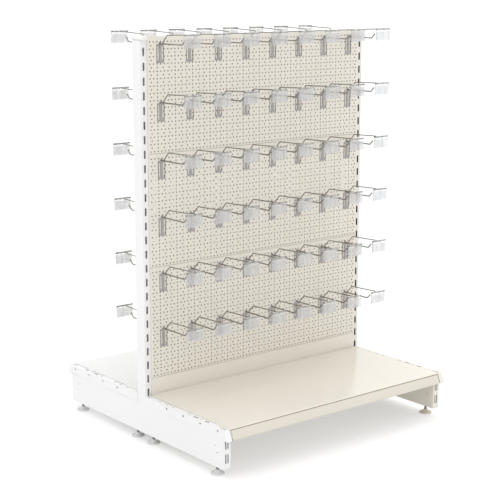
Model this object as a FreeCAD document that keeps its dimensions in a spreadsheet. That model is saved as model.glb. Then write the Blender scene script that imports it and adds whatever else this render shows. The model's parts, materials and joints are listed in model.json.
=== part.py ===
"""Pegboard display stand: a double-sided steel shop bay.

Two slotted uprights carry pegboard panels on both faces and four base legs on levelling feet.
A base shelf runs along each face, and every face has a grid of display hooks, each with a
clear ticket holder that swings on the hook's cross bar.

Frame: millimetres, +Z up, origin on the floor under the middle, +X to the right and -Y to the
front.  The rear face repeats the front face, turned half a turn about Z.
"""
import FreeCAD, Part
import math
import os
import Sketcher
from FreeCAD import Placement, Rotation, Vector

doc = FreeCAD.newDocument("DisplayStand")

# ---------------------------------------------------------------- driving dimensions
DIMENSIONS = {
    # uprights: a bay's pitch apart, with a column of slots near the outer edge
    "bay_pitch": 1000.0,
    "post_width": 30.0,
    "post_depth": 50.0,
    "post_wall": 2.0,
    "post_top": 1422.0,
    "slot_width": 8.0,
    "slot_length": 29.0,
    "slot_pitch": 50.0,
    "slot_count": 25.0,
    "slot_first": 183.0,
    "slot_offset": 2.5,
    "cap_height": 15.0,
    "cap_overhang": 14.0,
    "cap_inset": 9.0,
    # base legs and levelling feet
    "leg_bottom": 31.0,
    "leg_height": 110.0,
    "leg_reach": 475.0,
    "leg_wall": 2.0,
    "leg_slot_width": 4.5,
    "leg_slot_length": 32.0,
    "leg_slot_side": 4.5,
    "leg_slot_low": 19.0,
    "leg_slot_high": 69.0,
    "leg_hole_radius": 2.5,
    "leg_hole_back": 46.0,
    "leg_hole_back_height": 73.0,
    "leg_hole_front": 34.0,
    "leg_hole_front_height": 51.0,
    "foot_outer": 423.5,
    "foot_inner": 49.0,
    "pad_radius": 24.0,
    "pad_rim": 4.5,
    "pad_shoulder": 1.5,
    "neck_height": 9.0,
    "neck_wide": 15.0,
    "neck_narrow": 6.5,
    "stud_radius": 5.0,
    "stud_top": 68.0,
    "stud_play": 0.08,
    "nut_size": 20.0,
    "nut_height": 12.0,
    # base shelf and the brackets beside it
    "shelf_top": 170.0,
    "shelf_half": 496.0,
    "shelf_back": 32.0,
    "shelf_front": 484.0,
    "nose_front": 500.0,
    "nose_bottom": 134.0,
    "nose_back": 477.0,
    "shelf_sheet": 1.5,
    "shelf_hem": 6.0,
    "lip_return": 14.0,
    "rib_width": 40.0,
    "rib_height": 18.0,
    "rib_half": 490.0,
    "rib_back": 170.0,
    "rib_front": 330.0,
    "bracket_gap": 1.0,
    "bracket_width": 20.0,
    "bracket_wall": 2.0,
    "bracket_hole_count": 4.0,
    "bracket_hole_radius": 3.75,
    "bracket_hole_height": 159.0,
    "bracket_hole_first": 156.0,
    "bracket_hole_pitch": 97.0,
    "top_slot_width": 6.0,
    # panels
    "face_depth": 30.0,
    "panel_half": 490.0,
    "tray_half": 484.0,
    "tray_depth": 18.0,
    "panel_sheet": 1.0,
    "panel_pitch": 400.0,
    "panel_gap": 1.0,
    "panel_base": 233.5,
    "plain_height": 90.5,
    "hole_radius": 2.4,
    "first_row": 17.5,
    # tie rails between the uprights
    "rail_half_depth": 11.0,
    "rail_height": 40.0,
    "rail_wall": 2.0,
    "rail_top": 1420.0,
    "beam_bottom": 60.0,
    "beam_height": 80.0,
    # hooks, from the panel face and the first row of holes
    "hook_pitch": 125.0,
    "hook_row_pitch": 200.0,
    "plate_gap": 0.5,
    "plate_width": 29.0,
    "plate_thick": 2.0,
    "plate_top": -9.5,
    "plate_bottom": -72.0,
    "tongue_width": 8.0,
    "tongue_top": -2.5,
    "window_width": 8.0,
    "window_margin": 6.0,
    "lug_side": 12.5,
    "lug_drop": 12.5,
    "lug_radius": 1.6,
    "lug_depth": 3.2,
    "lug_rise": 9.0,
    "prong_radius": 2.5,
    "prong_drop": 7.0,
    "prong_reach": 130.0,
    "prong_bend": 8.0,
    "tip_run": 15.0,
    "arm_radius": 2.0,
    "arm_start": 14.0,
    "arm_turn": 43.0,
    "arm_rise": 22.5,
    "arm_bend": 9.0,
    "bar_reach": 188.0,
    "bar_rise": 28.0,
    "bar_radius": 2.0,
    "bar_half": 33.0,
    "knob_radius": 2.9,
    # ticket holders, from the cross bar's axis
    "ticket_half": 35.0,
    "ticket_top": 3.2,
    "ticket_bottom": 43.0,
    "ticket_half_thick": 1.3,
    "pocket_half_gap": 0.5,
    "pocket_half": 33.0,
    "pocket_top": 9.0,
    "pocket_bottom": 41.0,
    "barrel_radius": 3.6,
    "barrel_half": 29.0,
    "barrel_play": 0.08,
    "split_half": 4.0,
    "split_reach": 6.0,
}

HOOK_COLUMNS = 8
HOOK_ROWS = 6
PANELS = ("bottom", "middle", "top")
SIDES = {"left": -1, "right": 1}
FACES = {"front": Rotation(), "rear": Rotation(Vector(0, 0, 1), 180)}
ALONG_X = Rotation(Vector(0, 1, 0), 90)
HEIGHT_FROM_WEDGE = Rotation(Vector(1, 1, 1), 120)
# each slot along a bracket's top: its distance from the middle of the stand, and its length
TOP_SLOTS = ((38, 8), (102, 7), (146, 7), (182, 7), (274, 7), (314, 27), (342, 7), (376, 22),
             (452, 7), (470, 16))
BEYOND = 5.0

sheet = doc.addObject("Spreadsheet::Sheet", "Dimensions")
for row, (alias, number) in enumerate(DIMENSIONS.items(), start=1):
    sheet.set(f"A{row}", alias)
    sheet.set(f"B{row}", str(number))
    sheet.setAlias(f"B{row}", alias)
doc.recompute()

size = {alias: float(getattr(sheet, alias)) for alias in DIMENSIONS}
nodes = []


# ---------------------------------------------------------------- helpers
def formula(words):
    """A formula with each alias spelled as a cell of the sheet."""
    parts = words.replace("(", " ( ").replace(")", " ) ").split()
    return " ".join(f"Dimensions.{word}" if word in DIMENSIONS else word for word in parts)


def bind(thing, **properties):
    """Binds properties to formulas; a double underscore in a name stands for a dot."""
    for name, words in properties.items():
        thing.setExpression(name.replace("__", "."), formula(str(words)))
    return thing


def put(thing, low, rotation=Rotation()):
    """Turns a primitive, then binds its position to three formulas."""
    thing.Placement = Placement(Vector(), rotation)
    bind(thing, Placement__Base__x=low[0], Placement__Base__y=low[1])
    return bind(thing, Placement__Base__z=low[2])


def box(name, low, spans):
    """A box from its low corner and its three spans."""
    made = doc.addObject("Part::Box", name)
    bind(made, Length=spans[0], Width=spans[1], Height=spans[2])
    return put(made, low)


def rod(name, radius, length, low, rotation=Rotation()):
    """A cylinder along +Z, or along the turned +Z."""
    made = doc.addObject("Part::Cylinder", name)
    bind(made, Radius=radius, Height=length)
    return put(made, low, rotation)


def cone(name, wide, narrow, length, low):
    """A cone that narrows upwards."""
    made = doc.addObject("Part::Cone", name)
    bind(made, Radius1=wide, Radius2=narrow, Height=length)
    return put(made, low)


def slope(name, bottom, top, heights, across):
    """A prism along X whose section has a level foot and a level head, each from y to y."""
    made = doc.addObject("Part::Wedge", name)
    made.Placement = Placement(Vector(), HEIGHT_FROM_WEDGE)
    bind(made, Ymin=heights[0], Ymax=heights[1], Zmin=across[0], Zmax=across[1])
    bind(made, Z2min=across[0], Z2max=across[1], Xmin=bottom[0], Xmax=bottom[1])
    return bind(made, X2min=top[0], X2max=top[1])


def fuse(name, pieces):
    """Several pieces joined into one."""
    made = doc.addObject("Part::MultiFuse", name)
    made.Shapes = pieces
    made.Refine = True
    return made


def cut(name, base, tools):
    """A base less its tools."""
    made = doc.addObject("Part::Cut", name)
    made.Base = base
    made.Tool = tools[0] if len(tools) == 1 else fuse(f"{name}_tools", tools)
    made.Refine = True
    return made


def keep(made, label, rotation=Rotation(), move=Vector()):
    """Places one finished sub-part and names its file."""
    made.Label = label
    made.Placement = Placement(move, rotation)
    nodes.append(made)
    return made


def solid_feature(name, shape):
    """A document object for a shape made with Part's own functions."""
    made = doc.addObject("Part::Feature", name)
    made.Shape = shape
    return made


# ---------------------------------------------------------------- uprights and caps
def centred_rectangle(sketch, width, height):
    """A rectangle about the sketch's origin, its sizes bound to formulas."""
    first = sketch.GeometryCount
    corners = [Vector(-9, -9, 0), Vector(9, -9, 0), Vector(9, 9, 0), Vector(-9, 9, 0)]
    for start, end in zip(corners, corners[1:] + corners[:1]):
        sketch.addGeometry(Part.LineSegment(start, end))
    for side, kind in enumerate(("Horizontal", "Vertical", "Horizontal", "Vertical")):
        following = first + (side + 1) % 4
        sketch.addConstraint(Sketcher.Constraint("Coincident", first + side, 2, following, 1))
        sketch.addConstraint(Sketcher.Constraint(kind, first + side))
    sketch.addConstraint(Sketcher.Constraint("Symmetric", first, 1, first + 1, 2, -1, 1))
    wide = sketch.addConstraint(Sketcher.Constraint("DistanceX", first, 1, first, 2, 18))
    high = sketch.addConstraint(Sketcher.Constraint("DistanceY", first + 1, 1, first + 1, 2, 18))
    sketch.setExpression(f"Constraints[{wide}]", formula(width))
    sketch.setExpression(f"Constraints[{high}]", formula(height))


def slot_outline(sketch, centre_x, centre_z):
    """An upright slot with round ends about a numeric centre."""
    radius = size["slot_width"] / 2
    half = size["slot_length"] / 2 - radius
    top = Vector(centre_x, centre_z + half, 0)
    bottom = Vector(centre_x, centre_z - half, 0)
    side = Vector(radius, 0, 0)
    upper = Part.Circle(top, Vector(0, 0, 1), radius)
    lower = Part.Circle(bottom, Vector(0, 0, 1), radius)
    sketch.addGeometry(Part.ArcOfCircle(upper, 0, math.pi))
    sketch.addGeometry(Part.LineSegment(top - side, bottom - side))
    sketch.addGeometry(Part.ArcOfCircle(lower, math.pi, 2 * math.pi))
    sketch.addGeometry(Part.LineSegment(bottom + side, top + side))
    for first in range(4):
        sketch.addConstraint(Sketcher.Constraint("Tangent", first, 2, (first + 1) % 4, 1))
    sketch.addConstraint(Sketcher.Constraint("Vertical", 1))
    sketch.addConstraint(Sketcher.Constraint("Equal", 0, 2))
    width = sketch.addConstraint(Sketcher.Constraint("Radius", 0, radius))
    length = sketch.addConstraint(Sketcher.Constraint("DistanceY", 2, 3, 0, 3, 2 * half))
    sketch.setExpression(f"Constraints[{width}]", formula("slot_width / 2"))
    sketch.setExpression(f"Constraints[{length}]", formula("slot_length - slot_width"))


def plane_of(body, role):
    """One of a body's own origin planes."""
    return next(item for item in body.Origin.OriginFeatures if item.Role == role)


def upright(label, side):
    """A rectangular tube with a column of slots through its front and rear walls."""
    body = doc.addObject("PartDesign::Body", f"{label}_body")
    profile = body.newObject("Sketcher::SketchObject", f"{label}_profile")
    profile.AttachmentSupport = (plane_of(body, "XY_Plane"), [""])
    profile.MapMode = "FlatFace"
    centred_rectangle(profile, "post_width", "post_depth")
    centred_rectangle(profile, "post_width - 2 * post_wall", "post_depth - 2 * post_wall")
    tube = body.newObject("PartDesign::Pad", f"{label}_tube")
    tube.Profile = profile
    bind(tube, Length="post_top - leg_bottom")
    slots = body.newObject("Sketcher::SketchObject", f"{label}_slot")
    slots.AttachmentSupport = (plane_of(body, "XZ_Plane"), [""])
    slots.MapMode = "FlatFace"
    slot_outline(slots, side * size["slot_offset"], size["slot_first"] - size["leg_bottom"])
    pocket = body.newObject("PartDesign::Pocket", f"{label}_pocket")
    pocket.Profile = slots
    pocket.Type = 1
    pocket.Midplane = True
    doc.recompute()
    column = body.newObject("PartDesign::LinearPattern", f"{label}_column")
    column.Originals = [pocket]
    column.Direction = (slots, ["V_Axis"])
    bind(column, Length="slot_pitch * ( slot_count - 1 )", Occurrences="slot_count")
    body.Tip = column
    keep(body, label, move=Vector(side * size["bay_pitch"] / 2, 0, size["leg_bottom"]))


def cap(label, side):
    """A moulded cap on the post, wider front to back where it stands clear of the panels."""
    deep = "post_depth + 2 * cap_overhang"
    ear = "post_width - cap_inset"
    low_x = "0 - post_width / 2"
    ear_x = low_x if side < 0 else f"cap_inset + {low_x}"
    core = box(f"{label}_core", (low_x, "0 - post_depth / 2", "0"),
               ("post_width", "post_depth", "cap_height"))
    ears = box(f"{label}_ears", (ear_x, "0 - post_depth / 2 - cap_overhang", "0"),
               (ear, deep, "cap_height"))
    made = fuse(f"{label}_fused", [core, ears])
    keep(made, label, move=Vector(side * size["bay_pitch"] / 2, 0, size["post_top"]))


# ---------------------------------------------------------------- base legs and feet
def leg(label, rotation, move):
    """A closed rectangular tube with twin slots in its end and two nuts for the feet."""
    shell = box(f"{label}_shell", ("0 - post_width / 2", "0 - leg_reach", "0"),
                ("post_width", "leg_reach - post_depth / 2", "leg_height"))
    hollow = box(f"{label}_hollow",
                 ("leg_wall - post_width / 2", "leg_wall - leg_reach", "leg_wall"),
                 ("post_width - 2 * leg_wall", "leg_reach - post_depth / 2 - 2 * leg_wall",
                  "leg_height - 2 * leg_wall"))
    tools, nuts = [], []
    for level in ("low", "high"):
        for mark, side in SIDES.items():
            tools.append(box(f"{label}_slot_{level}_{mark}",
                             (f"{side} * leg_slot_side - leg_slot_width / 2",
                              f"0 - leg_reach - {BEYOND}", f"leg_slot_{level}"),
                             ("leg_slot_width", f"{BEYOND} + 2 * leg_wall", "leg_slot_length")))
    for name in ("back", "front"):
        tools.append(rod(f"{label}_hole_{name}", "leg_hole_radius", f"post_width + {2 * BEYOND}",
                         (f"0 - post_width / 2 - {BEYOND}", f"leg_hole_{name} - leg_reach",
                          f"leg_hole_{name}_height"), ALONG_X))
    for place in ("outer", "inner"):
        nuts.append(box(f"{label}_nut_{place}",
                        ("0 - nut_size / 2", f"0 - foot_{place} - nut_size / 2", "leg_wall"),
                        ("nut_size", "nut_size", "nut_height")))
        tools.append(rod(f"{label}_bore_{place}", "stud_radius + stud_play",
                         f"nut_height + leg_wall + {2 * BEYOND}",
                         ("0", f"0 - foot_{place}", f"0 - {BEYOND}")))
    tube = cut(f"{label}_tube", shell, [hollow])
    made = cut(f"{label}_cut", fuse(f"{label}_nutted", [tube] + nuts), tools)
    keep(made, label, rotation, move)


def foot(label, move):
    """A levelling foot: a round pad, its cone and its stud."""
    rim = rod(f"{label}_rim", "pad_radius", "pad_rim", ("0", "0", "0"))
    shoulder = cone(f"{label}_shoulder", "pad_radius", "pad_radius - 2 * pad_shoulder",
                    "pad_shoulder", ("0", "0", "pad_rim"))
    neck = cone(f"{label}_neck", "neck_wide", "neck_narrow", "neck_height",
                ("0", "0", "pad_rim + pad_shoulder"))
    stud = rod(f"{label}_stud", "stud_radius", "stud_top - pad_rim", ("0", "0", "pad_rim"))
    keep(fuse(f"{label}_fused", [rim, shoulder, neck, stud]), label, move=move)


# ---------------------------------------------------------------- shelf and its brackets
def bracket(label, rotation, side):
    """A channel on top of a leg, open towards the shelf, with a slanted nose."""
    inner = "shelf_half + bracket_gap"
    if side < 0:
        inner = "0 - shelf_half - bracket_gap - bracket_width"
    hollow_low = inner if side > 0 else f"{inner} + bracket_wall"
    hollow_wide = "bracket_width - bracket_wall"
    across = (inner, f"{inner} + bracket_width")
    hollow_across = (hollow_low, f"{hollow_low} + {hollow_wide}")
    body = box(f"{label}_body", (inner, "0 - shelf_front", "leg_bottom + leg_height"),
               ("bracket_width", "shelf_front - post_depth / 2", "shelf_top - leg_bottom - leg_height"))
    nose = slope(f"{label}_nose", ("0 - nose_front", "0 - nose_back"),
                 ("0 - shelf_front", "0 - nose_back"), ("nose_bottom", "shelf_top"), across)
    room = box(f"{label}_room",
               (hollow_low, "bracket_wall - shelf_front", "leg_bottom + leg_height + bracket_wall"),
               (hollow_wide, f"shelf_front - post_depth / 2 - bracket_wall + {BEYOND}",
                "shelf_top - leg_bottom - leg_height - 2 * bracket_wall"))
    nose_room = slope(f"{label}_nose_room",
                      ("1.5 * bracket_wall - nose_front", "0 - nose_back - bracket_wall"),
                      ("bracket_wall - shelf_front", "0 - nose_back - bracket_wall"),
                      ("nose_bottom + bracket_wall", "shelf_top - bracket_wall"), hollow_across)
    tools = [room, nose_room]
    for hole in range(int(size["bracket_hole_count"])):
        back = f"bracket_hole_first + {hole} * bracket_hole_pitch"
        tools.append(rod(f"{label}_hole_{hole}", "bracket_hole_radius",
                         f"bracket_width + {2 * BEYOND}",
                         (f"{inner} - {BEYOND}", f"0 - ( {back} )", "bracket_hole_height"), ALONG_X))
    for back, length in TOP_SLOTS:
        tools.append(box(f"{label}_top_slot_{back}",
                         (f"{inner} + bracket_width / 2 - top_slot_width / 2",
                          f"0 - {back} - {length} / 2", "shelf_top - 2 * bracket_wall"),
                         ("top_slot_width", length, f"2 * bracket_wall + {BEYOND}")))
    made = cut(f"{label}_cut", fuse(f"{label}_fused", [body, nose]), tools)
    keep(made, label, rotation)


def base_shelf(label, rotation):
    """A folded shelf: deck, slanted front lip with a return, side flanges, hem and two ribs."""
    wide = "2 * shelf_half"
    low = "0 - shelf_half"
    under = "shelf_top - shelf_sheet"
    pieces = [
        box(f"{label}_deck", (low, "0 - shelf_front", under),
            (wide, "shelf_front - shelf_back", "shelf_sheet")),
        slope(f"{label}_lip", ("0 - nose_front", "shelf_sheet - nose_front"),
              ("0 - shelf_front", "shelf_sheet - shelf_front"), ("nose_bottom", "shelf_top"),
              (low, "shelf_half")),
        box(f"{label}_return", (low, "0 - nose_front", "nose_bottom"),
            (wide, "lip_return", "shelf_sheet")),
        box(f"{label}_hem", (low, "0 - shelf_back - shelf_sheet", under),
            (wide, "shelf_sheet", "shelf_hem + shelf_sheet")),
    ]
    for mark, flange_low in (("left", low), ("right", "shelf_half - shelf_sheet")):
        pieces.append(box(f"{label}_flange_{mark}",
                          (flange_low, "0 - shelf_front", "leg_bottom + leg_height"),
                          ("shelf_sheet", "shelf_front - shelf_back",
                           "shelf_top - leg_bottom - leg_height")))
    for mark in ("back", "front"):
        channel = box(f"{label}_channel_{mark}",
                      ("0 - rib_half", f"0 - rib_{mark} - rib_width", f"{under} - rib_height"),
                      ("2 * rib_half", "rib_width", "rib_height"))
        groove = box(f"{label}_groove_{mark}",
                     (f"0 - rib_half - {BEYOND}", f"shelf_sheet - rib_{mark} - rib_width",
                      f"{under} - rib_height + shelf_sheet"),
                     (f"2 * rib_half + {2 * BEYOND}", "rib_width - 2 * shelf_sheet",
                      "rib_height - shelf_sheet"))
        pieces.append(cut(f"{label}_rib_{mark}", channel, [groove]))
    keep(fuse(f"{label}_fused", pieces), label, rotation)


# ---------------------------------------------------------------- panels and rails
def panel_tray(label, height):
    """A panel's face with its folded edges, the face's outside at y = 0 and its foot at z = 0."""
    high = f"{height}"
    deep = "panel_sheet + tray_depth"
    pieces = [box(f"{label}_face", ("0 - panel_half", "0", "0"),
                  ("2 * panel_half", "panel_sheet", high))]
    for mark, low in (("left", "0 - panel_half"), ("right", "panel_half - panel_sheet")):
        pieces.append(box(f"{label}_edge_{mark}", (low, "0", "0"),
                          ("panel_sheet", "face_depth - post_depth / 2", high)))
    for mark, low in (("left", "0 - tray_half"), ("right", "tray_half - panel_sheet")):
        pieces.append(box(f"{label}_flange_{mark}", (low, "0", "0"), ("panel_sheet", deep, high)))
    for mark, low in (("foot", "0"), ("head", f"{high} - panel_sheet")):
        pieces.append(box(f"{label}_{mark}", ("0 - tray_half", "0", low),
                          ("2 * tray_half", deep, "panel_sheet")))
    return fuse(f"{label}_tray", pieces)


def hook_xs():
    """The hooks' places along a row."""
    middle = (HOOK_COLUMNS - 1) / 2
    return [(column - middle) * size["hook_pitch"] for column in range(HOOK_COLUMNS)]


def pegboard(label, rotation, level):
    """A pegboard panel with the holes that its two rows of hooks hang from."""
    tray = panel_tray(label, "panel_pitch - panel_gap")
    holes = []
    for row in range(2):
        height = size["panel_pitch"] - size["first_row"] - row * size["hook_row_pitch"]
        height -= size["lug_drop"]
        for x in hook_xs():
            for side in SIDES.values():
                start = Vector(x + side * size["lug_side"], -BEYOND, height)
                length = size["panel_sheet"] + 2 * BEYOND
                holes.append(Part.makeCylinder(size["hole_radius"], length, start, Vector(0, 1, 0)))
    tools = solid_feature(f"{label}_holes", Part.makeCompound(holes))
    made = cut(f"{label}_cut", tray, [tools])
    foot_height = size["panel_base"] + level * size["panel_pitch"]
    offset = rotation.multVec(Vector(0, -size["face_depth"], 0))
    keep(made, label, rotation, offset + Vector(0, 0, foot_height))


def plain_panel(label, rotation):
    """The low blank panel between the shelf and the pegboard."""
    made = panel_tray(label, "plain_height")
    offset = rotation.multVec(Vector(0, -size["face_depth"], 0))
    foot_height = size["panel_base"] - size["panel_gap"] - size["plain_height"]
    keep(made, label, rotation, offset + Vector(0, 0, foot_height))


def rail(label, bottom, height):
    """A rectangular tube between the two uprights."""
    span = "bay_pitch - post_width"
    low_x = "0 - bay_pitch / 2 + post_width / 2"
    outer = box(f"{label}_outer", (low_x, "0 - rail_half_depth", "0"),
                (span, "2 * rail_half_depth", height))
    inner = box(f"{label}_inner", (f"{low_x} - {BEYOND}", "rail_wall - rail_half_depth", "rail_wall"),
                (f"{span} + {2 * BEYOND}", "2 * rail_half_depth - 2 * rail_wall",
                 f"{height} - 2 * rail_wall"))
    keep(cut(f"{label}_cut", outer, [inner]), label, move=Vector(0, 0, bottom))


# ---------------------------------------------------------------- hooks
def swept(edges, radius):
    """A round bar along joined edges."""
    heading = edges[0].tangentAt(edges[0].FirstParameter)
    begin = edges[0].valueAt(edges[0].FirstParameter)
    section = Part.Wire(Part.makeCircle(radius, begin, heading))
    return Part.Wire(edges).makePipeShell([section], True, False)


def wire(points, radius, bend):
    """A bent round wire in the y, z plane, as one solid a stretch; a bend begins its stretch."""
    corners = [Vector(0, y, z) for y, z in points]
    stretches, edges, start = [], [], corners[0]
    for before, corner, after in zip(corners, corners[1:], corners[2:]):
        back = (before - corner).normalize()
        onward = (after - corner).normalize()
        half_angle = back.getAngle(onward) / 2
        trim = bend / math.tan(half_angle)
        inward = (back + onward).normalize()
        middle = corner + inward * (bend / math.sin(half_angle) - bend)
        arc_start = corner + back * trim
        arc_end = corner + onward * trim
        edges.append(Part.LineSegment(start, arc_start).toShape())
        stretches.append(swept(edges, radius))
        edges = [Part.Arc(arc_start, middle, arc_end).toShape()]
        start = arc_end
    edges.append(Part.LineSegment(start, corners[-1]).toShape())
    stretches.append(swept(edges, radius))
    return stretches


def back_plate():
    """A hook's plate: three upright bars joined top and bottom, with two lugs for the holes."""
    gap = -size["plate_gap"]
    face = gap - size["plate_thick"]
    half = size["plate_width"] / 2
    foot_height = size["plate_bottom"]
    tall = size["plate_top"] - foot_height
    tongue_half = size["tongue_width"] / 2
    plate = Part.makeBox(2 * half, size["plate_thick"], tall, Vector(-half, face, foot_height))
    tongue = Part.makeBox(2 * tongue_half, size["plate_thick"], size["tongue_top"] - foot_height,
                          Vector(-tongue_half, face, foot_height))
    pieces, windows = [tongue], []
    radius = size["lug_radius"]
    for side in SIDES.values():
        low_x = side * (half + tongue_half) / 2 - size["window_width"] / 2
        low = Vector(low_x, face - BEYOND, foot_height + size["window_margin"])
        windows.append(Part.makeBox(size["window_width"], size["plate_thick"] + 2 * BEYOND,
                                    tall - 2 * size["window_margin"], low))
        start = Vector(side * size["lug_side"], gap - size["plate_thick"] / 2, -size["lug_drop"])
        corner = Vector(start.x, size["lug_depth"], start.z)
        pieces.append(Part.makeCylinder(radius, corner.y - start.y, start, Vector(0, 1, 0)))
        pieces.append(Part.makeSphere(radius, corner))
        pieces.append(Part.makeCylinder(radius, size["lug_rise"], corner, Vector(0, 0, 1)))
    return plate.multiFuse(pieces).cut(Part.makeCompound(windows)).removeSplitter()


def hook_shapes():
    """One hook's pieces: back plate, prong and its tip, the arm's two stretches, cross bar."""
    face = -size["plate_gap"] - size["plate_thick"]
    prong_end = -size["prong_reach"]
    drop = -size["prong_drop"]
    tip = Vector(0, prong_end - size["tip_run"], drop + size["tip_run"])
    prong, point = wire([(face, drop), (prong_end, drop), (tip.y, tip.z)],
                        size["prong_radius"], size["prong_bend"])
    point = point.fuse(Part.makeSphere(size["prong_radius"], tip)).removeSplitter()
    middle = Vector(0, -size["bar_reach"], size["bar_rise"])
    ends = [middle + Vector(side * size["bar_half"], 0, 0) for side in SIDES.values()]
    bar = Part.makeCylinder(size["bar_radius"], 2 * size["bar_half"], ends[0], Vector(1, 0, 0))
    knobs = [Part.makeSphere(size["knob_radius"], end) for end in ends]
    bar = bar.multiFuse(knobs).removeSplitter()
    turn = (-size["arm_turn"], size["arm_rise"])
    riser, arm = wire([(-size["arm_start"], drop), turn, (middle.y, middle.z)],
                      size["arm_radius"], size["arm_bend"])
    return [back_plate(), prong, point.Solids[0], riser.cut(prong).Solids[0],
            arm.cut(bar).Solids[0], bar]


def ticket_shape():
    """One ticket holder about its cross bar: a pocketed blade under a split barrel."""
    half = size["ticket_half"]
    thick = size["ticket_half_thick"]
    blade = Part.makeBox(2 * half, 2 * thick, size["ticket_bottom"] - size["ticket_top"],
                         Vector(-half, -thick, -size["ticket_bottom"]))
    barrel = Part.makeCylinder(size["barrel_radius"], 2 * size["barrel_half"],
                               Vector(-size["barrel_half"], 0, 0), Vector(1, 0, 0))
    bore = Part.makeCylinder(size["bar_radius"] + size["barrel_play"], 2 * half,
                             Vector(-half, 0, 0), Vector(1, 0, 0))
    split = Part.makeBox(2 * size["split_half"], 2 * size["split_reach"], 2 * size["split_reach"],
                         Vector(-size["split_half"], -size["split_reach"], -size["split_reach"]))
    pocket = Part.makeBox(size["pocket_half"] + half + BEYOND, 2 * size["pocket_half_gap"],
                          size["pocket_bottom"] - size["pocket_top"],
                          Vector(-size["pocket_half"], -size["pocket_half_gap"],
                                 -size["pocket_bottom"]))
    return blade.fuse(barrel).cut(bore).cut(split).cut(pocket).removeSplitter()


def repeated(shapes, offset):
    """Copies of some shapes along a row, offset from the panel face."""
    copies = []
    for x in hook_xs():
        for shape in shapes:
            copy = shape.copy()
            copy.translate(offset + Vector(x, 0, 0))
            copies.append(copy)
    return Part.makeCompound(copies)


def hook_rows():
    """Every row of hooks and its row of ticket holders."""
    hooks = repeated(hook_shapes(), Vector())
    bar = Vector(0, -size["bar_reach"], size["bar_rise"])
    tickets = repeated([ticket_shape()], bar)
    top_row = size["panel_base"] + len(PANELS) * size["panel_pitch"] - size["first_row"]
    for face, rotation in FACES.items():
        offset = rotation.multVec(Vector(0, -size["face_depth"], 0))
        for row in range(HOOK_ROWS):
            move = offset + Vector(0, 0, top_row - row * size["hook_row_pitch"])
            for kind, shape in (("hook_row", hooks), ("ticket_row", tickets)):
                label = f"{kind}_{face}_{row + 1}"
                keep(solid_feature(f"{label}_shape", shape), label, rotation, move)


# ---------------------------------------------------------------- the stand
def build():
    """Makes every sub-part in its place."""
    for mark, side in SIDES.items():
        upright(f"upright_{mark}", side)
        cap(f"upright_cap_{mark}", side)
    for face, rotation in FACES.items():
        turned = 1 if face == "front" else -1
        for mark, side in SIDES.items():
            x = side * size["bay_pitch"] / 2
            leg(f"base_leg_{face}_{mark}", rotation, Vector(x, 0, size["leg_bottom"]))
            bracket(f"shelf_bracket_{face}_{mark}", rotation, side * turned)
            for place in ("outer", "inner"):
                y = -turned * size[f"foot_{place}"]
                foot(f"levelling_foot_{face}_{mark}_{place}", Vector(x, y, 0))
        base_shelf(f"base_shelf_{face}", rotation)
        plain_panel(f"plain_panel_{face}", rotation)
        for level, mark in enumerate(PANELS):
            pegboard(f"pegboard_{face}_{mark}", rotation, level)
    for number, mark in ((2, "upper"), (1, "lower")):
        seam = size["panel_base"] + number * size["panel_pitch"]
        rail(f"tie_rail_{mark}", seam - size["rail_height"] / 2, "rail_height")
    rail("tie_rail_top", size["rail_top"] - size["rail_height"], "rail_height")
    rail("tie_beam_bottom", size["beam_bottom"], "beam_height")
    hook_rows()
    doc.recompute()


def check():
    """Stops before anything is written if an object failed or a sub-part is not sound."""
    failed = [item.Name for item in doc.Objects if {"Invalid", "Error"} & set(item.State)]
    assert not failed, f"failed objects: {failed}"
    for item in nodes:
        assert not item.Shape.isNull(), f"{item.Label} is empty"
        assert item.Shape.isValid(), f"{item.Label} is not valid"
    labels = [item.Label for item in nodes]
    assert len(set(labels)) == len(labels), "two sub-parts share a name"


def export():
    """Writes one file for each sub-part."""
    os.makedirs("parts", exist_ok=True)
    for item in nodes:
        item.Shape.exportStep(f"parts/{item.Label}.step")
    print(f"{len(nodes)} sub-parts written")


build()
check()
export()
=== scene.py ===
"""The looks of the pegboard display stand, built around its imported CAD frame.

The CAD parts that show as they are get painted, plated or moulded materials and softened edges.
The sheet-metal panels, the base shelves and the levelling feet are replaced by finer meshes, with
every perforation, rounded folds, the seam along the shelf's lip and screw threads. They keep the
CAD's sizes, but a shelf's bent sheet lies one thickness further out than the CAD's.

Lengths are metres in the frame's own axes: +Z up, -Y to the front, the floor at Z = 0.
"""
import json
import math

import bmesh
import bpy
from mathutils import Euler, Matrix, Vector

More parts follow.
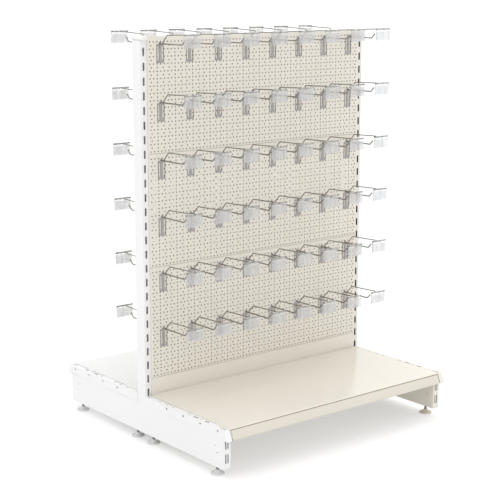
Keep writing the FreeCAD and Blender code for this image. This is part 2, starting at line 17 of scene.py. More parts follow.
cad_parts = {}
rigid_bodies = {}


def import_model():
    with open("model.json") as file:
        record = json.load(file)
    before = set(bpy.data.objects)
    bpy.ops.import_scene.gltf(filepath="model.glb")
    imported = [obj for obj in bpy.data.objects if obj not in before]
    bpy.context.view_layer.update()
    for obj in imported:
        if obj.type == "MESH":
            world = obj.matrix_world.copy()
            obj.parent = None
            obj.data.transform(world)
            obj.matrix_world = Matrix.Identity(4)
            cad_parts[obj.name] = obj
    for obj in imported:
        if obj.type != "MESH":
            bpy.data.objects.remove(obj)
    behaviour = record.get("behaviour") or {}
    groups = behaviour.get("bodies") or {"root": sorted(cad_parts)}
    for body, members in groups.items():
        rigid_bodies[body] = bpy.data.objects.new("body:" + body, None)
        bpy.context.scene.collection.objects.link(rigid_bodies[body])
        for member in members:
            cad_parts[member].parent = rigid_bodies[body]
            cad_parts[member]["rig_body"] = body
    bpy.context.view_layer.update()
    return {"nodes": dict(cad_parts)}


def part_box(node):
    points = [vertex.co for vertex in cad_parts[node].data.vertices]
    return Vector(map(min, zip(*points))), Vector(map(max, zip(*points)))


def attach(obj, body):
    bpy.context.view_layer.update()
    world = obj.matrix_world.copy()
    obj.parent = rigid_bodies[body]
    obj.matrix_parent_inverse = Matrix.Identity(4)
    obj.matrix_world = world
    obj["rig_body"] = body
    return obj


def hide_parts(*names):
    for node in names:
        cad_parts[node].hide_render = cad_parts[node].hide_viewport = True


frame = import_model()
MM = 0.001
FACES = {"front": 1, "rear": -1}
SIDES = {"left": -1, "right": 1}
LEVELS = ("bottom", "middle", "top")
HALF_TURN = Matrix.Rotation(math.pi, 4, "Z")

# where a paint or a plating changes over: a hook's plate ends at PLATE_FACE from the stand's middle plane,
# and SKIN is less than the wall of a post or a rail; past it the cream gives way to near-black painted
# shade inside a post and on a rail below its upper face
PLATE_FACE = 33 * MM
POST_X, POST_HALF_WIDTH, POST_HALF_DEPTH = 500 * MM, 15 * MM, 25 * MM
RAIL_TOP = 1420 * MM
SKIN = 1.5 * MM

# ---------------------------------------------------------------- colours, linear, and roughness
CREAM = (0.708, 0.670, 0.599)
# the lip's cream, darker as painted shade
LIP_SHADE_CREAM = (0.620, 0.582, 0.510)
WHITE = (0.760, 0.760, 0.760)
SHELF_WHITE = (0.660, 0.660, 0.660)
CAP_WHITE = (0.780, 0.780, 0.775)
# near black, painted shade for the insides of the panels, posts and rails
SHADE_BLACK = (0.030, 0.022, 0.016)
# brown painted shade for the seam under the shelf's front fold
SEAM_SHADE_BROWN = (0.200, 0.150, 0.110)
WIRE_ZINC = (0.290, 0.280, 0.250)
PLATE_ZINC = (0.350, 0.335, 0.335)
CLEAR = (0.965, 0.969, 0.977)
FOOT_CREAM = (0.600, 0.530, 0.440)
FOOT_WHITE = (0.640, 0.640, 0.635)
FLOOR = (0.550, 0.550, 0.550)
GLOSS, SATIN, DULL, MATT = 0.17, 0.40, 0.50, 0.60


# ---------------------------------------------------------------- materials
class Paint:
    """A material with one Principled shader, and short calls that add nodes to it."""

    def __init__(self, name, **values):
        self.made = bpy.data.materials.new(name)
        self.made.use_nodes = True
        self.tree = self.made.node_tree
        self.shader = self.tree.nodes["Principled BSDF"]
        for socket, value in values.items():
            self.shader.inputs[socket.replace("_", " ")].default_value = value
        self.place = self.node("ShaderNodeTexCoord").outputs["Object"]

    def node(self, kind, **values):
        """One node, its inputs set to numbers or linked to other nodes' outputs."""
        made = self.tree.nodes.new(kind)
        for name, value in values.items():
            socket = made.inputs[name.replace("_", " ")]
            if isinstance(value, bpy.types.NodeSocket):
                self.tree.links.new(value, socket)
            else:
                socket.default_value = value
        return made

    def noise(self, scale, detail=2.0, roughness=0.5, place=None):
        """Noise of some scale, in repeats a metre."""
        made = self.node("ShaderNodeTexNoise", Vector=place or self.place, Scale=scale,
                         Detail=detail, Roughness=roughness)
        return made.outputs["Fac"]

    def stretched(self, x, y, z):
        """Object coordinates scaled along each axis."""
        made = self.node("ShaderNodeMapping", Vector=self.place)
        made.inputs["Scale"].default_value = (x, y, z)
        return made.outputs["Vector"]

    def span(self, value, low, high, start=0.3, end=0.7):
        """A value brought from start..end to low..high."""
        made = self.node("ShaderNodeMapRange", Value=value)
        for name, number in (("From Min", start), ("From Max", end), ("To Min", low), ("To Max", high)):
            made.inputs[name].default_value = number
        return made.outputs["Result"]

    def blend(self, share, first, second):
        """A colour between two, by a share."""
        made = self.tree.nodes.new("ShaderNodeMix")
        made.data_type = "RGBA"
        for socket, value in zip((made.inputs[0], made.inputs[6], made.inputs[7]), (share, first, second)):
            if isinstance(value, bpy.types.NodeSocket):
                self.tree.links.new(value, socket)
            else:
                socket.default_value = (*value, 1.0) if isinstance(value, tuple) else value
        return made.outputs[2]

    def math(self, operation, first, second=0.0):
        """An arithmetic operation on one or two numbers or outputs."""
        made = self.tree.nodes.new("ShaderNodeMath")
        made.operation = operation
        for socket, value in zip(made.inputs, (first, second)):
            if isinstance(value, bpy.types.NodeSocket):
                self.tree.links.new(value, socket)
            else:
                socket.default_value = value
        return made.outputs["Value"]

    def drive(self, socket, value):
        """Links an output to one of the shader's inputs."""
        self.tree.links.new(value, self.shader.inputs[socket])

    def bump(self, height, depth, strength=1.0, under=None):
        """Adds relief of some depth, on top of other relief if given."""
        made = self.node("ShaderNodeBump", Height=height, Strength=strength, Distance=depth)
        if under is not None:
            self.tree.links.new(under, made.inputs["Normal"])
        return made.outputs["Normal"]


def scaled(colour, factor):
    """A colour made lighter or darker."""
    return tuple(min(1.0, channel * factor) for channel in colour)


def powder_coat(name, colour, roughness, shade_mask=None):
    """Baked powder paint: a broad drift in tone, fine specks and the coat's orange peel.

    shade_mask makes, from the paint, the output that is 1 where near-black painted shade replaces the
    paint."""
    paint = Paint(name, Specular_IOR_Level=0.45)
    drift = paint.span(paint.noise(2.2, 2.0), 0.0, 1.0)
    broad = paint.blend(drift, scaled(colour, 0.975), scaled(colour, 1.02))
    specks = paint.span(paint.noise(420.0, 1.0), 0.0, 1.0, 0.55, 0.75)
    coat = paint.blend(specks, broad, scaled(colour, 0.955))
    # where the mask is 1, near-black painted shade replaces the paint
    if shade_mask:
        coat = paint.blend(shade_mask(paint), coat, SHADE_BLACK)
    paint.drive("Base Color", coat)
    sheen = paint.span(paint.noise(35.0, 3.0), roughness - 0.04, roughness + 0.05)
    paint.drive("Roughness", sheen)
    peel = paint.bump(paint.noise(650.0, 2.0), 0.00006, 0.6)
    waves = paint.bump(paint.noise(18.0, 1.0), 0.0004, 0.25, peel)
    paint.drive("Normal", waves)
    return paint.made


def inside_post(paint):
    """Whether a point is on the inside of an upright, where painted shade goes."""
    place = paint.node("ShaderNodeSeparateXYZ", Vector=paint.place).outputs
    across = paint.math("SUBTRACT", paint.math("ABSOLUTE", place["X"]), POST_X)
    along = paint.math("ABSOLUTE", place["Y"])
    in_width = paint.math("LESS_THAN", paint.math("ABSOLUTE", across), POST_HALF_WIDTH - SKIN)
    in_depth = paint.math("LESS_THAN", along, POST_HALF_DEPTH - SKIN)
    return paint.math("MULTIPLY", in_width, in_depth)


def under_rail_top(paint):
    """Whether a point is below the upper face of the top tie rail, where painted shade goes."""
    height = paint.node("ShaderNodeSeparateXYZ", Vector=paint.place).outputs["Z"]
    return paint.math("LESS_THAN", height, RAIL_TOP - SKIN)


def zinc_plate():
    """Plated steel: dark drawn wire, and paler stamped plates close to the panels."""
    paint = Paint("zinc_plate", Metallic=0.9)
    bloom = paint.span(paint.noise(60.0, 3.0), 0.0, 1.0)
    wire = paint.blend(bloom, scaled(WIRE_ZINC, 0.82), scaled(WIRE_ZINC, 1.2))
    plate = paint.blend(bloom, scaled(PLATE_ZINC, 0.9), scaled(PLATE_ZINC, 1.08))
    depth = paint.node("ShaderNodeSeparateXYZ", Vector=paint.place).outputs["Y"]
    away = paint.math("ABSOLUTE", depth)
    paint.drive("Base Color", paint.blend(paint.math("GREATER_THAN", away, PLATE_FACE), plate, wire))
    streaks = paint.noise(300.0, 2.0, 0.6, paint.stretched(1.0, 0.15, 0.15))
    paint.drive("Roughness", paint.span(streaks, 0.26, 0.42))
    paint.drive("Normal", paint.bump(streaks, 0.00003, 0.5))
    return paint.made


def clear_plastic():
    """Clear moulded plastic, a little milky, with faint flow lines down it."""
    paint = Paint("clear_plastic", Transmission_Weight=0.86, IOR=1.46)
    flow = paint.noise(95.0, 2.0, 0.5, paint.stretched(1.0, 1.0, 0.1))
    paint.drive("Base Color", paint.blend(paint.span(flow, 0.0, 1.0), scaled(CLEAR, 0.90), CLEAR))
    paint.drive("Roughness", paint.span(paint.noise(160.0, 2.0), 0.05, 0.16))
    paint.drive("Normal", paint.bump(flow, 0.0003, 0.35))
    return paint.made


def moulded(name, colour, roughness):
    """Moulded plastic with a fine spark-eroded grain."""
    paint = Paint(name)
    drift = paint.span(paint.noise(25.0, 2.0), 0.0, 1.0)
    paint.drive("Base Color", paint.blend(drift, scaled(colour, 0.95), scaled(colour, 1.03)))
    grain = paint.noise(900.0, 2.0)
    paint.drive("Roughness", paint.span(grain, roughness - 0.05, roughness + 0.07))
    paint.drive("Normal", paint.bump(grain, 0.00008, 0.6))
    return paint.made


cream = powder_coat("cream_powder_coat", CREAM, SATIN)
white = powder_coat("white_powder_coat", WHITE, SATIN)
# cream with near-black painted shade inside the posts, and cream with near-black painted shade on the tie
# rails below the top rail's upper face
cream_post_shaded_inside = powder_coat("cream_post_coat_shaded_inside", CREAM, SATIN, inside_post)
cream_rail_shaded_below = powder_coat("cream_rail_coat_shaded_below", CREAM, SATIN, under_rail_top)
# near-black painted shade
inside_shade_paint = powder_coat("painted_inside_shade", SHADE_BLACK, MATT)
# brown painted shade in the shelf's seam
seam_shade_brown = powder_coat("seam_shade_brown", SEAM_SHADE_BROWN, MATT)
shelf_cream = powder_coat("cream_gloss_coat", CREAM, GLOSS)
# the lip's darker cream is painted shade
lip_shade_cream = powder_coat("cream_lip_coat_shaded", LIP_SHADE_CREAM, SATIN)
shelf_white = powder_coat("white_gloss_coat", SHELF_WHITE, GLOSS)
zinc = zinc_plate()
clear = clear_plastic()
cap_plastic = moulded("cap_plastic", CAP_WHITE, 0.45)
cream_foot_plastic = moulded("cream_foot_plastic", FOOT_CREAM, DULL)
white_foot_plastic = moulded("white_foot_plastic", FOOT_WHITE, DULL)


# ---------------------------------------------------------------- mesh helpers
def new_mesh(name, points, faces, material, smooth_below=40.0):
    """A mesh from points and faces, shaded smooth across edges flatter than some angle."""
    mesh = bpy.data.meshes.new(name)
    mesh.from_pydata(points, [], faces)
    mesh.validate()
    mesh.update()
    mesh.materials.append(material)
    mesh.shade_smooth()
    mesh.set_sharp_from_angle(angle=math.radians(smooth_below))
    return mesh


def close_holes(mesh):
    """Fills each open end of a mesh."""
    work = bmesh.new()
    work.from_mesh(mesh)
    bmesh.ops.holes_fill(work, edges=work.edges[:], sides=0)
    work.to_mesh(mesh)
    work.free()


def show(name, mesh, node, turn=Matrix.Identity(4)):
    """Puts a mesh in the scene in place of a CAD node, on that node's body."""
    piece = bpy.data.objects.new(name, mesh)
    bpy.context.scene.collection.objects.link(piece)
    piece.matrix_world = turn
    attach(piece, frame["nodes"][node]["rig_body"])
    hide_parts(node)
    return piece


def add_box(points, faces, low, high):
    """Adds a box to lists of points and faces."""
    first = len(points)
    for z in (low[2], high[2]):
        points += [(low[0], low[1], z), (high[0], low[1], z), (high[0], high[1], z), (low[0], high[1], z)]
    sides = ((0, 3, 2, 1), (4, 5, 6, 7), (0, 1, 5, 4), (1, 2, 6, 5), (2, 3, 7, 6), (3, 0, 4, 7))
    faces += [tuple(first + corner for corner in side) for side in sides]


# ---------------------------------------------------------------- pierced sheets
HOLE_RADIUS = 2.4 * MM
HOLE_SIDES = 12
# a row's holes are at whole pitches from the middle, as many as the half on each side
DENSE_PITCH, DENSE_HALF = 15 * MM, 32
SPARSE_PITCH, SPARSE_HALF = 25 * MM, 19
ROW_PITCH = 25 * MM
DENSE_ROWS = 16
FIRST_ROW = 16.5 * MM
SHEET = 1.0 * MM
FOLD = 0.9 * MM
FOLD_STEPS = 3
TRAY_INSET = 6 * MM
EDGE_FLANGE = 5 * MM
NEAR = 0.001 * MM


def snap(value):
    """A coordinate rounded to a ten-thousandth of a millimetre, so that shared points meet."""
    return round(value, 7)


def middles(values, low, high):
    """The lines halfway between values, with the two ends."""
    return [low] + [(a + b) / 2 for a, b in zip(values, values[1:])] + [high]


def pierced_sheet(half_width, height, rows):
    """A sheet with round holes and rounded edges: u across, w into the sheet, v up.

    rows lists (v, the us of its holes). The result is closed, as (points, faces)."""
    low_u, high_u, low_v, high_v = FOLD - half_width, half_width - FOLD, FOLD, height - FOLD
    circle = [(HOLE_RADIUS * math.cos(2 * math.pi * i / HOLE_SIDES),
               HOLE_RADIUS * math.sin(2 * math.pi * i / HOLE_SIDES)) for i in range(HOLE_SIDES)]
    levels = middles([v for v, _ in rows], low_v, high_v)
    columns = [middles(us, low_u, high_u) for _, us in rows]
    marks = [set() for _ in levels]
    for row, (_, us) in enumerate(rows):
        for line in (row, row + 1):
            marks[line].update(snap(u) for u in columns[row])
            marks[line].update(snap(u) for u in us)
    marks = [sorted(line) for line in marks]
    index, plane = {}, []

    def at(u, v):
        key = (snap(u), snap(v))
        if key not in index:
            index[key] = len(plane)
            plane.append(key)
        return index[key]

    def along(line, start, end):
        """The points of one level between two us, from start to end."""
        low, high = sorted((snap(start), snap(end)))
        picked = [at(u, levels[line]) for u in marks[line] if low <= u <= high]
        return picked if start < end else picked[::-1]

    flats, loops = [], []
    quarter = HOLE_SIDES // 4
    for row, (v, us) in enumerate(rows):
        for number, u in enumerate(us):
            left, right = columns[row][number], columns[row][number + 1]
            ring = [at(u + du, v + dv) for du, dv in circle]
            loops.append(ring)
            ring = ring + ring[:1]
            east, west = at(right, v), at(left, v)
            arcs = [ring[k * quarter:(k + 1) * quarter + 1] for k in range(4)]
            flats.append([east] + along(row + 1, right, u) + arcs[0][::-1])
            flats.append(along(row + 1, u, left) + [west] + arcs[1][::-1])
            flats.append([west] + along(row, left, u) + arcs[2][::-1])
            flats.append(along(row, u, right) + [east] + arcs[3][::-1])
    count = len(plane)

    def edge_push(u, v):
        """Which way a border point moves outwards."""
        return ((u > high_u - NEAR) - (u < low_u + NEAR), (v > high_v - NEAR) - (v < low_v + NEAR))

    points = [(u, 0.0, v) for u, v in plane]
    for u, v in plane:
        push = edge_push(u, v)
        points.append((u + push[0] * FOLD, SHEET, v + push[1] * FOLD))
    faces = list(flats) + [[count + i for i in reversed(flat)] for flat in flats]
    for ring in loops:
        for a, b in zip(ring, ring[1:] + ring[:1]):
            faces.append((a, b, count + b, count + a))
    right_edge = sorted(v for u, v in plane if abs(u - high_u) < NEAR)
    left_edge = sorted((v for u, v in plane if abs(u - low_u) < NEAR), reverse=True)
    border = [at(u, low_v) for u in marks[0]] + [at(high_u, v) for v in right_edge[1:]]
    border += [at(u, high_v) for u in reversed(marks[-1][:-1])]
    border += [at(low_u, v) for v in left_edge[1:-1]]
    previous = border
    for step in range(1, FOLD_STEPS + 1):
        angle = math.pi / 2 * step / FOLD_STEPS
        out, depth = FOLD * math.sin(angle), FOLD * (1 - math.cos(angle))
        current = []
        for i in border:
            push = edge_push(*plane[i])
            current.append(len(points))
            points.append((plane[i][0] + push[0] * out, depth, plane[i][1] + push[1] * out))
        faces += rungs(previous, current)
        previous = current
    faces += rungs(previous, [count + i for i in border])
    return points, faces


def rungs(inner, outer):
    """Quads between two closed loops of the same length."""
    ends = list(range(1, len(inner))) + [0]
    return [(inner[a], outer[a], outer[b], inner[b]) for a, b in enumerate(ends)]


def plain_sheet(half_width, height):
    """A sheet with rounded edges and no holes, as (points, faces)."""
    points, faces, previous = [], [], None
    for step in range(FOLD_STEPS + 1):
        angle = math.pi / 2 * step / FOLD_STEPS
        inset, depth = FOLD * (1 - math.sin(angle)), FOLD * (1 - math.cos(angle))
        u, low, high = half_width - inset, inset, height - inset
        current = list(range(len(points), len(points) + 4))
        points += [(-u, depth, low), (u, depth, low), (u, depth, high), (-u, depth, high)]
        faces += rungs(previous, current) if previous else [tuple(current)]
        previous = current
    back = list(range(len(points), len(points) + 4))
    points += [(-half_width, SHEET, 0), (half_width, SHEET, 0),
               (half_width, SHEET, height), (-half_width, SHEET, height)]
    faces += rungs(previous, back)
    faces.append(tuple(reversed(back)))
    return points, faces


def panel_mesh(name, half_width, deep, height, rows):
    """A panel: its pierced face and the folded flanges behind it, the face's outside at y = 0.

    The inside and the holes' walls are near black, as painted shade."""
    if rows:
        points, faces = pierced_sheet(half_width, height, rows)
    else:
        points, faces = plain_sheet(half_width, height)
    tray_half = half_width - TRAY_INSET
    for side in SIDES.values():
        outer, inner = side * half_width, side * (half_width - SHEET)
        add_box(points, faces, (min(outer, inner), SHEET, 0),
                (max(outer, inner), EDGE_FLANGE, height))
        outer, inner = side * tray_half, side * (tray_half - SHEET)
        add_box(points, faces, (min(outer, inner), SHEET, SHEET),
                (max(outer, inner), deep, height - SHEET))
    for bottom in (0.0, height - SHEET):
        add_box(points, faces, (-tray_half, SHEET, bottom), (tray_half, deep, bottom + SHEET))
    mesh = new_mesh(name, points, faces, cream)
    # the inside faces and the holes' walls get near-black painted shade
    mesh.materials.append(inside_shade_paint)
    for face in mesh.polygons:
        middle = face.center
        inside = abs(middle.x) < half_width - 2 * SHEET and FOLD < middle.z < height - FOLD
        if inside and middle.y > SHEET / 4:
            face.material_index = 1
    return mesh


def hole_rows(height):
    """Rows of holes from the foot up: dense rows, each but the lowest with a sparse row under it."""
    rows = []
    for number in range(DENSE_ROWS):
        v = height - FIRST_ROW - number * ROW_PITCH
        rows.append((v, [i * DENSE_PITCH for i in range(-DENSE_HALF, DENSE_HALF + 1)]))
        if number < DENSE_ROWS - 1:
            sparse = [i * SPARSE_PITCH for i in range(-SPARSE_HALF, SPARSE_HALF + 1)]
            rows.append((v - ROW_PITCH / 2, sparse))
    return rows[::-1]


def build_panels():
    """The six pegboards share one mesh, and the two plain panels another."""
    shared = {}
    for face, turned in FACES.items():
        for kind in [f"pegboard_{face}_{level}" for level in LEVELS] + [f"plain_panel_{face}"]:
            low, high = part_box(kind)
            plain = kind.startswith("plain")
            if plain not in shared:
                name, rows = ("plain_panel", []) if plain else ("pegboard", hole_rows(high.z - low.z))
                shared[plain] = panel_mesh(name, high.x, high.y - low.y, high.z - low.z, rows)
            place = Matrix.Translation((0, low.y if turned > 0 else high.y, low.z))
            if turned < 0:
                place = place @ HALF_TURN
            show(f"{kind}_sheet", shared[plain], kind, place)


# ---------------------------------------------------------------- base shelves
SHELF_SHEET = 1.5 * MM
# the lower face of the deck, and where it folds down into the lip
DECK_LEVEL = 170 * MM
DECK_FRONT = -484 * MM
LIP_RETURN = 14 * MM
# how far the lip stops short of each end of the deck
LIP_SHORT = 4 * MM
# the seam's edges, down the slope from the fold, and its depth
SEAM_TOP = 2.0 * MM
SEAM_FOOT = 4.5 * MM
SEAM_DEPTH = 1.4 * MM
HEM_BEND, FRONT_BEND, LIP_BEND = 1.2 * MM, 2.0 * MM, 3.0 * MM
BEND_STEPS = 5
FLANGE_FOOT = 141 * MM
FLANGE_GAP = 4 * MM
RIB_BACKS = (-170 * MM, -330 * MM)
RIB_WIDTH, RIB_DEPTH, RIB_HALF_LENGTH = 40 * MM, 18 * MM, 490 * MM


def bent_path(corners, radii, thickness):
    """A sheet's section as pairs of points on its two faces, with its bends rounded.

    The first face follows the corners, with a radius at each but the two ends, and the second
    lies one thickness to the right of it, as seen from +X."""
    pairs = []
    for number, corner in enumerate(corners):
        before = (corner - corners[number - 1]).normalized() if number else None
        after = (corners[number + 1] - corner).normalized() if number + 1 < len(corners) else None
        if before is None or after is None:
            heading = after or before
            across = Vector((heading.y, -heading.x)) * thickness
            pairs.append((corner, corner + across))
            continue
        turn = before.x * after.y - before.y * after.x
        angle = before.angle(after)
        radius = radii[number - 1]
        side = 1.0 if turn < 0 else -1.0
        trim = radius * math.tan(angle / 2)
        inward = Vector((before.y, -before.x)) * side
        centre = corner - before * trim + inward * radius
        for step in range(BEND_STEPS + 1):
            swing = -side * angle * step / BEND_STEPS
            spoke = -inward.copy()
            spoke.rotate(Matrix.Rotation(swing, 2))
            bent = centre + spoke * radius
            pairs.append((bent, bent - spoke * side * thickness))
    return pairs


def add_bent_sheet(points, faces, pairs, low_x, high_x):
    """Adds a bent sheet, swept along X, to lists of points and faces."""
    first = len(points)
    for one, other in pairs:
        for x in (low_x, high_x):
            points += [(x, one.x, one.y), (x, other.x, other.y)]
    for number in range(len(pairs) - 1):
        a = first + 4 * number
        b = a + 4
        faces += [(a, b, b + 2, a + 2), (a + 1, a + 3, b + 3, b + 1)]
        faces += [(a, a + 1, b + 1, b), (a + 2, b + 2, b + 3, a + 3)]
    last = first + 4 * (len(pairs) - 1)
    faces += [(first, first + 2, first + 3, first + 1), (last, last + 1, last + 3, last + 2)]


def shelf_mesh(low, high):
    """A base shelf: deck with a rear hem, a lip in a darker cream as painted shade below a seam whose
    backing is brown painted shade, side flanges and two ribs.
    """
    half, back = high.x, high.y
    hem, fold = back - SHELF_SHEET, Vector((DECK_FRONT, DECK_LEVEL))
    nose = Vector((low.y, low.z))
    slope = (nose - fold).normalized()
    sunk = fold + Vector((-slope.y, slope.x)) * SEAM_DEPTH
    deck = [Vector((hem, high.z)), Vector((hem, DECK_LEVEL)), fold, fold + slope * SEAM_TOP]
    lip = [fold + slope * SEAM_FOOT, nose, nose + Vector((LIP_RETURN, 0))]
    overlap = SEAM_TOP / 2
    backing = [sunk + slope * (SEAM_TOP - overlap), sunk + slope * (SEAM_FOOT + overlap)]
    points, faces = [], []
    add_bent_sheet(points, faces, bent_path(deck, (HEM_BEND, FRONT_BEND), SHELF_SHEET), -half, half)
    first_faces = []
    for path, radii in ((lip, (LIP_BEND,)), (backing, ())):
        first_faces.append(len(faces))
        pairs = bent_path(path, radii, SHELF_SHEET)
        add_bent_sheet(points, faces, pairs, LIP_SHORT - half, half - LIP_SHORT)
    lip_faces, seam_faces = range(*first_faces), range(first_faces[1], len(faces))
    under = DECK_LEVEL - SHELF_SHEET
    for side in SIDES.values():
        outer, inner = side * half, side * (half - SHELF_SHEET)
        add_box(points, faces, (min(outer, inner), DECK_FRONT + FLANGE_GAP, FLANGE_FOOT),
                (max(outer, inner), back, under))
    floor = under - RIB_DEPTH
    for rib_back in RIB_BACKS:
        rib_front = rib_back - RIB_WIDTH
        for y in (rib_front, rib_back - SHELF_SHEET):
            add_box(points, faces, (-RIB_HALF_LENGTH, y, floor + SHELF_SHEET),
                    (RIB_HALF_LENGTH, y + SHELF_SHEET, under))
        add_box(points, faces, (-RIB_HALF_LENGTH, rib_front, floor),
                (RIB_HALF_LENGTH, rib_back, floor + SHELF_SHEET))
    mesh = new_mesh("base_shelf", points, faces, shelf_cream, 30.0)
    # the lip's darker cream and the seam's brown are painted shade
    others = ((lip_shade_cream, lip_faces), (seam_shade_brown, seam_faces))
    for index, (material, numbers) in enumerate(others, 1):
        mesh.materials.append(material)
        for number in numbers:
            mesh.polygons[number].material_index = index
    return mesh


def build_shelves():
    """The front shelf in cream and the same one, turned round, in white."""
    front = shelf_mesh(*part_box("base_shelf_front"))
    show("base_shelf_front_sheet", front, "base_shelf_front")
    rear = front.copy()
    rear.materials[0] = rear.materials[1] = shelf_white
    show("base_shelf_rear_sheet", rear, "base_shelf_rear", HALF_TURN)


# ---------------------------------------------------------------- levelling feet
# a pad's outline from the floor up, as radius and height in millimetres
PAD = ((22, 0), (23.6, 0.5), (24, 1.6), (24, 3.6), (23.5, 4.5), (21.4, 5.6), (19, 6.1), (15, 6.4),
       (11.5, 8), (9, 10.6), (7.6, 13.2), (6.9, 15), (5.0, 15.2))
STUD_RADIUS, STUD_FOOT, STUD_TOP = 5.0 * MM, 12 * MM, 68 * MM
THREAD_PITCH = 1.5 * MM
# how deep the thread is at each quarter of its pitch, from crest to crest
THREAD_DEPTHS = (0.0, 0.33 * MM, 0.55 * MM, 0.33 * MM)
TURN_STEPS = 32


def foot_mesh():
    """A foot about its own axis: a turned pad and neck, and a stud with a helical thread."""
    points, faces = [], []
    rings = []
    for radius, z in PAD:
        rings.append(list(range(len(points), len(points) + TURN_STEPS)))
        for step in range(TURN_STEPS):
            angle = 2 * math.pi * step / TURN_STEPS
            points.append((radius * MM * math.cos(angle), radius * MM * math.sin(angle), z * MM))
    faces.append(tuple(reversed(rings[0])))
    for lower, upper in zip(rings, rings[1:]):
        faces += rungs(upper, lower)
    faces.append(tuple(rings[-1]))
    plastic_faces = len(faces)
    per_turn = len(THREAD_DEPTHS)
    count = int((STUD_TOP - STUD_FOOT) / THREAD_PITCH) * per_turn
    first = len(points)
    for ring in range(count):
        radius = STUD_RADIUS - THREAD_DEPTHS[ring % per_turn]
        for step in range(TURN_STEPS):
            share = step / TURN_STEPS
            angle = 2 * math.pi * share
            z = STUD_FOOT + (ring / per_turn + share) * THREAD_PITCH
            points.append((radius * math.cos(angle), radius * math.sin(angle), z))
    for ring in range(count):
        for step in range(TURN_STEPS):
            right = step + 1
            over = per_turn if right == TURN_STEPS else 0
            corners = [(ring, step), (ring + over, right % TURN_STEPS),
                       (ring + over + 1, right % TURN_STEPS), (ring + 1, step)]
            if corners[2][0] < count and corners[3][0] < count:
                faces.append(tuple(first + r * TURN_STEPS + s for r, s in corners))
    mesh = new_mesh("levelling_foot", points, faces, cream_foot_plastic, 35.0)
    close_holes(mesh)
    mesh.materials.append(zinc)
    for face in mesh.polygons:
        if face.index >= plastic_faces:
            face.material_index = 1
    return mesh


def build_feet():
    """The feet of each end share one mesh, each about its own stud's axis."""
    meshes = {"right": foot_mesh()}
    meshes["left"] = meshes["right"].copy()
    meshes["left"].materials[0] = white_foot_plastic
    for face in FACES:
        for mark in SIDES:
            for place in ("outer", "inner"):
                node = f"levelling_foot_{face}_{mark}_{place}"
                low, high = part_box(node)
                middle = (low + high) / 2
                turn = Matrix.Translation((middle.x, middle.y, low.z))
                show(f"{node}_turned", meshes[mark], node, turn)


# ---------------------------------------------------------------- CAD parts that show
WELD_REACH = 0.01 * MM
FLAT_BELOW, BEVEL_ABOVE = math.radians(1), math.radians(50)


def dress(node, material, bevel=0.0):
    """Gives a CAD node its material and, once flat triangles are merged, softened edges."""
    part = frame["nodes"][node]
    part.data.materials.clear()
    part.data.materials.append(material)
    if bevel:
        weld = part.modifiers.new("weld", "WELD")
        weld.merge_threshold = WELD_REACH
        flat = part.modifiers.new("flat", "DECIMATE")
        flat.decimate_type = "DISSOLVE"
        flat.angle_limit = FLAT_BELOW
        rounding = part.modifiers.new("rounding", "BEVEL")
        rounding.width = bevel
        rounding.segments = 2
        rounding.limit_method = "ANGLE"
        rounding.angle_limit = BEVEL_ABOVE
        rounding.harden_normals = True


def dress_frame():
    """Paints, plates and softens every CAD node that shows."""
    # the right post carries near-black painted shade on its inside
    paints = {"left": (white, white), "right": (cream, cream_post_shaded_inside)}
    for mark, (paint, post_paint) in paints.items():
        dress(f"upright_{mark}", post_paint, 1.0 * MM)
        dress(f"upright_cap_{mark}", cap_plastic, 4.0 * MM)
        for face in FACES:
            dress(f"base_leg_{face}_{mark}", paint, 1.0 * MM)
            dress(f"shelf_bracket_{face}_{mark}", paint, 0.5 * MM)
    # the tie rails carry near-black painted shade below the top rail's upper face
    for rail in ("rail_upper", "rail_lower", "rail_top", "beam_bottom"):
        dress(f"tie_{rail}", cream_rail_shaded_below, 0.8 * MM)
    for face in FACES:
        for row in range(1, 7):
            dress(f"hook_row_{face}_{row}", zinc)
            dress(f"ticket_row_{face}_{row}", clear)


# ---------------------------------------------------------------- floor, light and camera
FLOOR_HALF = 40.0
FLOOR_DROP = 0.2 * MM
FLOOR_GLOW = 0.4
SURROUND_STRENGTH = 1.25
LIGHT_FROM, LIGHT_STRENGTH, LIGHT_SPREAD = (0.15, 0.05, 1.0), 0.5, 50

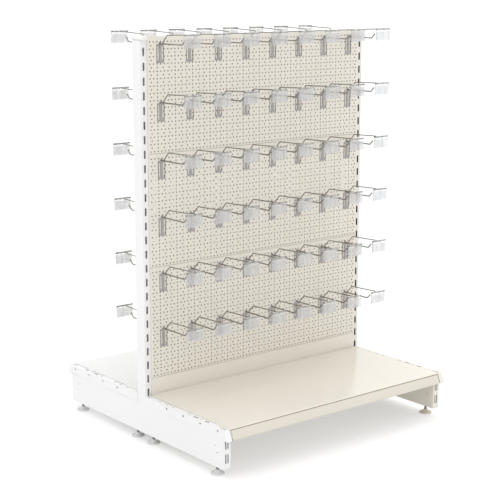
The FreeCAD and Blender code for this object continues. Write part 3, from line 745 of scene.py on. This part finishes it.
CAMERA_PLACE = (-3.0028, -3.6999, 1.6217)
CAMERA_YAW = 38.883
CAMERA_PITCH = 10.877
CAMERA_LENS = 93.66
CAMERA_SHIFT = -0.04


def build_floor():
    """A pale floor, a little lit from within so that it stays as pale as the surround."""
    points = [(x * FLOOR_HALF, y * FLOOR_HALF, 0) for x, y in ((-1, -1), (1, -1), (1, 1), (-1, 1))]
    material = Paint("floor", Roughness=0.9, Emission_Color=(1, 1, 1, 1), Emission_Strength=FLOOR_GLOW)
    drift = material.span(material.noise(0.7, 2.0), 0.0, 1.0)
    material.drive("Base Color", material.blend(drift, scaled(FLOOR, 0.995), FLOOR))
    floor = bpy.data.objects.new("floor", new_mesh("floor", points, [(0, 1, 2, 3)], material.made))
    bpy.context.scene.collection.objects.link(floor)
    floor.location.z = -FLOOR_DROP


def build_light():
    """A white surround, and one wide light from above, soft enough to leave no hard edge."""
    world = bpy.data.worlds.new("surround")
    bpy.context.scene.world = world
    world.use_nodes = True
    background = world.node_tree.nodes["Background"]
    background.inputs["Color"].default_value = (1.0, 1.0, 1.0, 1.0)
    background.inputs["Strength"].default_value = SURROUND_STRENGTH
    lamp = bpy.data.lights.new("overhead", "SUN")
    lamp.energy = LIGHT_STRENGTH
    lamp.angle = math.radians(LIGHT_SPREAD)
    overhead = bpy.data.objects.new("overhead", lamp)
    bpy.context.scene.collection.objects.link(overhead)
    overhead.rotation_euler = Vector(LIGHT_FROM).to_track_quat("Z", "Y").to_euler()


def build_camera():
    """The camera, at head height off the stand's front left corner."""
    lens = bpy.data.cameras.new("camera")
    lens.lens = CAMERA_LENS
    lens.shift_y = CAMERA_SHIFT
    camera = bpy.data.objects.new("camera", lens)
    bpy.context.scene.collection.objects.link(camera)
    camera.location = CAMERA_PLACE
    tilt, yaw = math.radians(90 - CAMERA_PITCH), math.radians(-CAMERA_YAW)
    camera.rotation_euler = Euler((tilt, 0, yaw), "XYZ")
    bpy.context.scene.camera = camera
    bpy.context.scene.view_settings.view_transform = "Standard"


build_panels()
build_shelves()
build_feet()
dress_frame()
build_floor()
build_light()
build_camera()
